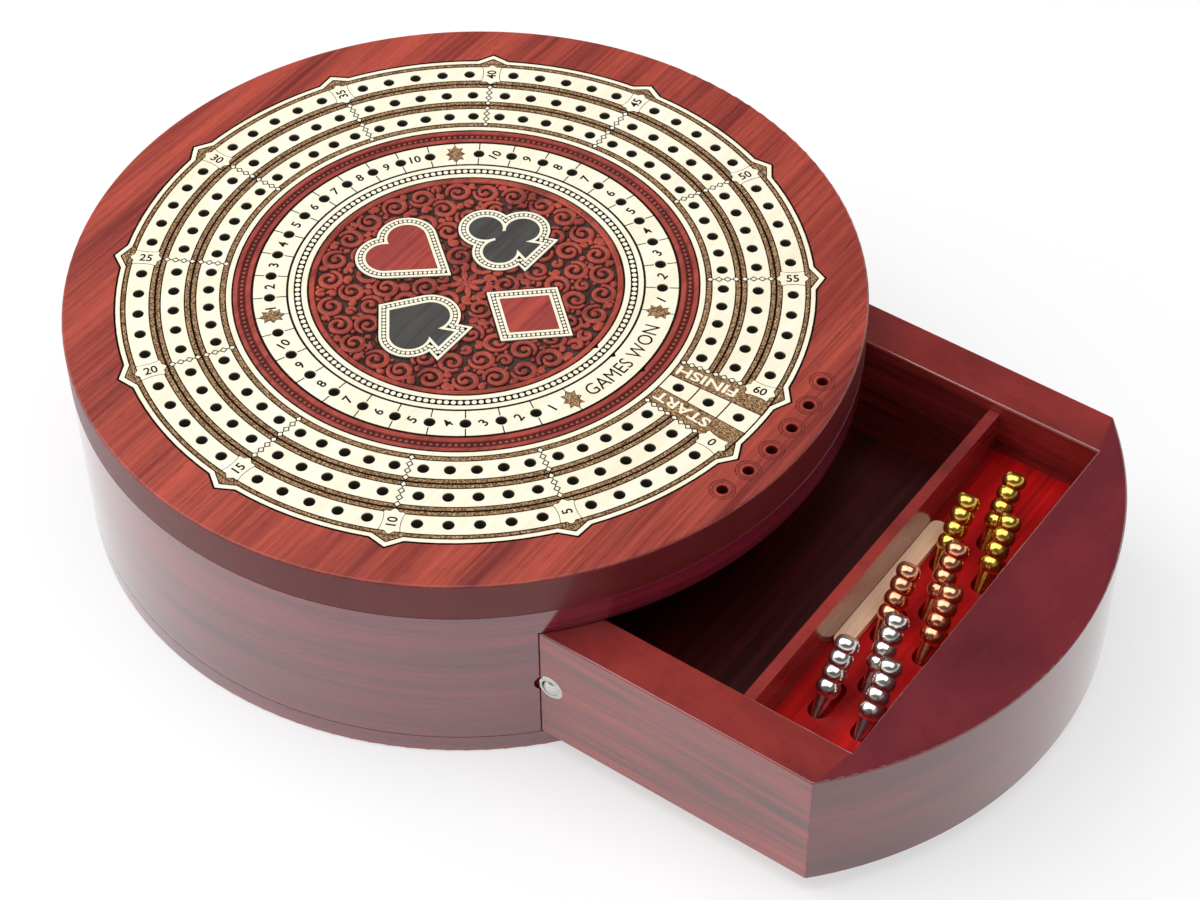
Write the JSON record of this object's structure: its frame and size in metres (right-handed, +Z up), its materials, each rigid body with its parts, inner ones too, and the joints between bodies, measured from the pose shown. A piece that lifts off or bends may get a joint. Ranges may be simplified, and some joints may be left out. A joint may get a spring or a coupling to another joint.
{
  "type": "cribbage box with drawer",
  "caption": "Round wooden cribbage box: a drum with inlaid peg tracks and a carved medallion on top, and a curved-front drawer for cards and leaning metal pegs.",
  "frame": {"origin": "centre of the drum's foot, on the surface that it stands on", "axes": "+Z up, +X the way the drawer opens, +Y across the drawer, with the ball catch on its -Y side"},
  "size_m": [0.3136, 0.2286, 0.069],
  "materials": {
    "body_wood": "dark red stained hardwood, high gloss lacquer",
    "board_wood": "orange-red hardwood with dark streaks, satin",
    "bead_wood": "red hardwood, satin",
    "carved_wood": "red hardwood, carved",
    "red_fill": "red hardwood, satin",
    "black_fill": "black hardwood, satin",
    "maple": "pale hardwood, satin, with burnt lines",
    "drawer_wood": "dark red stained hardwood, high gloss lacquer",
    "tray_wood": "dark red stained hardwood, gloss",
    "rack_wood": "bright red stained hardwood, high gloss",
    "plate_maple": "pale hardwood with burnt edges",
    "catch_steel": "polished steel",
    "spring_steel": "plain steel",
    "peg_silver": "polished nickel",
    "peg_copper": "polished copper",
    "peg_gold": "polished brass"
  },
  "bodies": {
    "box": {"base_plate": "body_wood", "drum_body": "body_wood", "top_board": "board_wood", "track_inlay": "maple", "bead_ring": "bead_wood", "score_inlay": "maple", "medallion_border": "maple", "medallion": "carved_wood", "heart_border": "maple", "heart_fill": "red_fill", "club_border": "maple", "club_fill": "black_fill", "diamond_border": "maple", "diamond_fill": "red_fill", "spade_border": "maple", "spade_fill": "black_fill"},
    "drawer": {"drawer_front": "drawer_wood", "drawer_side_near": "drawer_wood", "drawer_side_far": "drawer_wood", "drawer_back": "drawer_wood", "drawer_bottom": "tray_wood", "divider": "rack_wood", "peg_rack": "rack_wood", "plate": "plate_maple", "catch_barrel": "catch_steel", "catch_spring": "spring_steel"},
    "catch_ball": {"catch_ball": "catch_steel"},
    "peg_silver_1": {"peg_silver_1": "peg_silver"},
    "peg_silver_2": {"peg_silver_2": "peg_silver"},
    "peg_silver_3": {"peg_silver_3": "peg_silver"},
    "peg_copper_1": {"peg_copper_1": "peg_copper"},
    "peg_copper_2": {"peg_copper_2": "peg_copper"},
    "peg_copper_3": {"peg_copper_3": "peg_copper"},
    "peg_gold_1": {"peg_gold_1": "peg_gold"},
    "peg_gold_2": {"peg_gold_2": "peg_gold"},
    "peg_gold_3": {"peg_gold_3": "peg_gold"}
  },
  "joints": [
    {"name": "drawer_slide", "type": "slide", "parent": "box", "child": "drawer", "axis": [1, 0, 0], "range_m": [-0.085, 0]},
    {"name": "catch_press", "type": "slide", "parent": "drawer", "child": "catch_ball", "axis": [0, 1, 0], "range_m": [0, 0.0012], "stiffness_N_per_m": 400, "springref_m": -0.002},
    {"name": "peg_silver_1_lift", "type": "slide", "parent": "drawer", "child": "peg_silver_1", "axis": [0, 0.6691, 0.7431], "range_m": [0, 0.045]},
    {"name": "peg_silver_2_lift", "type": "slide", "parent": "drawer", "child": "peg_silver_2", "axis": [0, 0.6691, 0.7431], "range_m": [0, 0.045]},
    {"name": "peg_silver_3_lift", "type": "slide", "parent": "drawer", "child": "peg_silver_3", "axis": [0, 0.6691, 0.7431], "range_m": [0, 0.045]},
    {"name": "peg_copper_1_lift", "type": "slide", "parent": "drawer", "child": "peg_copper_1", "axis": [0, 0.6691, 0.7431], "range_m": [0, 0.045]},
    {"name": "peg_copper_2_lift", "type": "slide", "parent": "drawer", "child": "peg_copper_2", "axis": [0, 0.6691, 0.7431], "range_m": [0, 0.045]},
    {"name": "peg_copper_3_lift", "type": "slide", "parent": "drawer", "child": "peg_copper_3", "axis": [0, 0.6691, 0.7431], "range_m": [0, 0.045]},
    {"name": "peg_gold_1_lift", "type": "slide", "parent": "drawer", "child": "peg_gold_1", "axis": [0, 0.6691, 0.7431], "range_m": [0, 0.045]},
    {"name": "peg_gold_2_lift", "type": "slide", "parent": "drawer", "child": "peg_gold_2", "axis": [0, 0.6691, 0.7431], "range_m": [0, 0.045]},
    {"name": "peg_gold_3_lift", "type": "slide", "parent": "drawer", "child": "peg_gold_3", "axis": [0, 0.6691, 0.7431], "range_m": [0, 0.045]}
  ]
}
